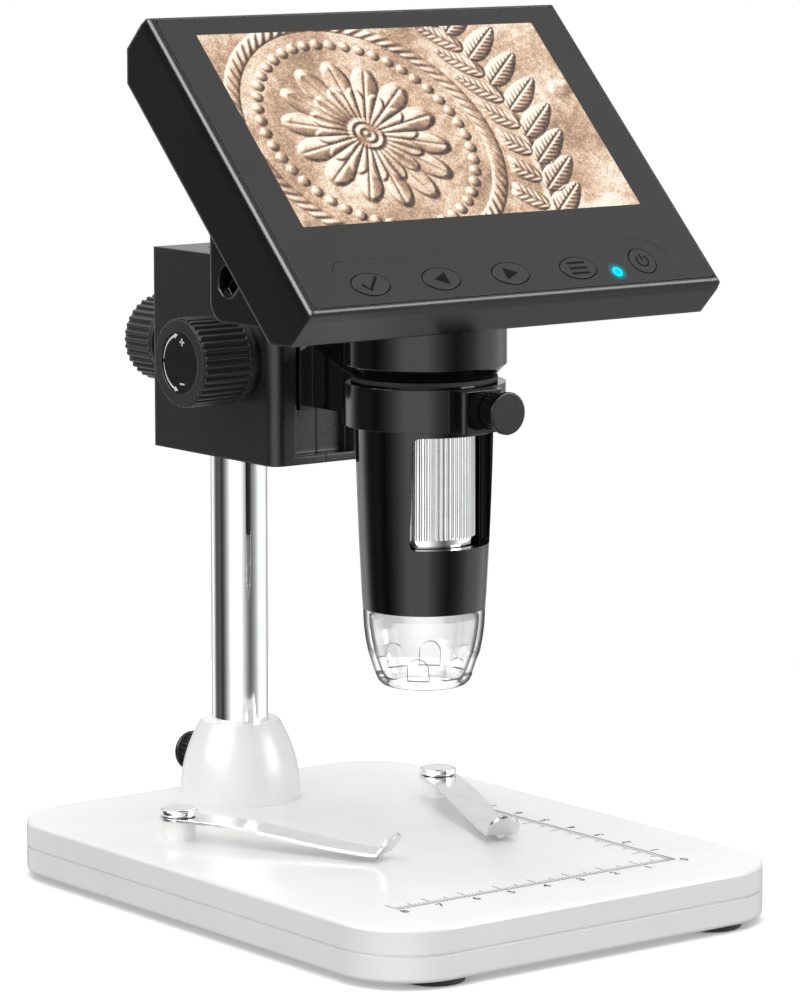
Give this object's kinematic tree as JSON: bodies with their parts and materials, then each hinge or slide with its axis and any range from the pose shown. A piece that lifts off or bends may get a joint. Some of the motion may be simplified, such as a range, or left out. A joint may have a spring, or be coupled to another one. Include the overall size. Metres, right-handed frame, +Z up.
{
  "type": "lcd digital microscope",
  "caption": "Screen microscope on a pole stand: a tilted display head on a lit barrel, held by a ring arm with rack focus over a flat ruled stage with spring clips.",
  "frame": {"origin": "middle of the bounding box in plan, at the underside of the rubber feet", "axes": "+X to the user's right, +Y away from the user towards the pole, +Z up"},
  "size_m": [0.117, 0.1694, 0.2056],
  "materials": {
    "white_abs": "satin moulded",
    "block_black": "fine grain",
    "head_black": "satin",
    "panel_grey": "fine matt",
    "key_grey": "satin",
    "knob_grey": "satin",
    "trim_black": "smooth",
    "rubber_black": "matt",
    "chrome": "polished",
    "spring_steel": "polished",
    "steel": "plain",
    "black_steel": "blackened",
    "brass": "turned",
    "aluminium": "bright turned",
    "screen": "lit picture under glass",
    "clear_plastic": "clear moulded",
    "lens_glass": "coated",
    "lamp_cyan": "glowing",
    "lamp_white": "clear domes",
    "board_green": "lacquered",
    "board_white": "lacquered",
    "battery_grey": "foil pouch"
  },
  "bodies": {
    "base": {"base_top_cover": "white_abs", "base_bottom_cover": "white_abs", "base_weight": "steel", "base_feet": "rubber_black", "base_screws": "steel", "pole_socket": "white_abs", "socket_cup": "steel", "socket_insert": "brass", "clip_pins": "spring_steel"},
    "socket_lock": {"socket_lock_screw": "steel", "socket_lock_knob": "trim_black"},
    "left_clip": {"clip_left": "spring_steel"},
    "right_clip": {"clip_right": "spring_steel"},
    "pole": {"pole": "chrome", "pole_cap": "trim_black"},
    "block": {"block_left_shell": "block_black", "block_right_shell": "block_black", "block_screws": "black_steel", "shaft_bushes": "brass", "knob_collars": "trim_black", "clamp_insert": "brass"},
    "height_lock": {"height_screw": "steel", "height_knob": "knob_grey"},
    "focus_drive": {"focus_shaft": "steel", "focus_pinion": "brass", "focus_knob_left": "knob_grey", "focus_dial_left": "trim_black", "focus_knob_right": "knob_grey", "focus_dial_right": "trim_black"},
    "slide": {"slide_arm": "block_black", "focus_rack": "brass", "ring_insert": "brass"},
    "ring_lock": {"ring_lock_screw": "steel", "ring_lock_knob": "trim_black"},
    "head": {"head_shell": "head_black", "front_panel": "panel_grey", "button_strip": "panel_grey", "display_module": "screen", "status_led": "lamp_cyan", "button_board": "board_green", "main_board": "board_green", "battery": "battery_grey", "card_socket": "steel", "head_screws": "black_steel", "barrel_collar": "head_black", "seat_ring": "rubber_black", "barrel_shell": "head_black", "sensor_board": "board_green", "led_board": "board_white", "led_lamps": "lamp_white", "clear_shield": "clear_plastic"},
    "ok_key": {"key_ok": "key_grey"},
    "left_key": {"key_left": "key_grey"},
    "right_key": {"key_right": "key_grey"},
    "menu_key": {"key_menu": "key_grey"},
    "power_key": {"key_power": "key_grey"},
    "roller": {"focus_roller": "aluminium"},
    "lens": {"lens_carrier": "trim_black", "objective_lens": "lens_glass"}
  },
  "joints": [
    {"name": "socket_lock_turn", "type": "hinge", "parent": "base", "child": "socket_lock", "pos_m": [0, 0.06655, 0.0216], "axis": [0, 1, 0], "range_deg": [0, 180]},
    {"name": "left_clip_turn", "type": "hinge", "parent": "base", "child": "left_clip", "pos_m": [-0.0384, 0.02235, 0.018], "axis": [0, 0, 1], "range_deg": [-80, 8]},
    {"name": "right_clip_turn", "type": "hinge", "parent": "base", "child": "right_clip", "pos_m": [0.0384, 0.02235, 0.018], "axis": [0, 0, 1], "range_deg": [-8, 80]},
    {"name": "pole_turn", "type": "hinge", "parent": "base", "child": "pole", "pos_m": [0, 0.05135, 0.02], "axis": [0, 0, 1], "range_deg": [-40, 40]},
    {"name": "block_slide", "type": "slide", "parent": "pole", "child": "block", "axis": [0, 0, 1], "range_m": [-0.025, 0]},
    {"name": "height_lock_turn", "type": "hinge", "parent": "block", "child": "height_lock", "pos_m": [0, 0.07755, 0.1233], "axis": [0, 1, 0], "range_deg": [0, 180]},
    {"name": "slide_rise", "type": "slide", "parent": "block", "child": "slide", "axis": [0, 0, 1], "range_m": [0, 0.009]},
    {"name": "focus_turn", "type": "hinge", "parent": "block", "child": "focus_drive", "pos_m": [0, 0.03095, 0.124], "axis": [1, 0, 0], "range_deg": [-117.5, 0.3]},
    {"name": "ring_lock_turn", "type": "hinge", "parent": "slide", "child": "ring_lock", "pos_m": [0.0019, -0.04645, 0.11785], "axis": [0, -1, 0], "range_deg": [0, 180]},
    {"name": "head_turn", "type": "hinge", "parent": "slide", "child": "head", "pos_m": [0, -0.02145, 0.13], "axis": [0, 0, 1], "range_deg": [-35, 35]},
    {"name": "roller_turn", "type": "hinge", "parent": "head", "child": "roller", "pos_m": [0, -0.02145, 0.0985], "axis": [0, 0, 1], "range_deg": [-135, 135]},
    {"name": "lens_travel", "type": "slide", "parent": "head", "child": "lens", "axis": [0, 0, 1], "range_m": [-0.0031, 0.0031]},
    {"name": "ok_key_press", "type": "slide", "parent": "head", "child": "ok_key", "axis": [0, -0.7071, 0.7071], "range_m": [-0.0007, 0], "stiffness_N_per_m": 800, "springref_m": 0.0002},
    {"name": "left_key_press", "type": "slide", "parent": "head", "child": "left_key", "axis": [0, -0.7071, 0.7071], "range_m": [-0.0007, 0], "stiffness_N_per_m": 800, "springref_m": 0.0002},
    {"name": "right_key_press", "type": "slide", "parent": "head", "child": "right_key", "axis": [0, -0.7071, 0.7071], "range_m": [-0.0007, 0], "stiffness_N_per_m": 800, "springref_m": 0.0002},
    {"name": "menu_key_press", "type": "slide", "parent": "head", "child": "menu_key", "axis": [0, -0.7071, 0.7071], "range_m": [-0.0007, 0], "stiffness_N_per_m": 800, "springref_m": 0.0002},
    {"name": "power_key_press", "type": "slide", "parent": "head", "child": "power_key", "axis": [0, -0.7071, 0.7071], "range_m": [-0.0007, 0], "stiffness_N_per_m": 800, "springref_m": 0.0002}
  ],
  "couplings": [
    {"joint": "focus_turn", "follows": "slide_rise", "rad_per_m": -227.27},
    {"joint": "lens_travel", "follows": "roller_turn", "m_per_rad": 0.0012732}
  ]
}
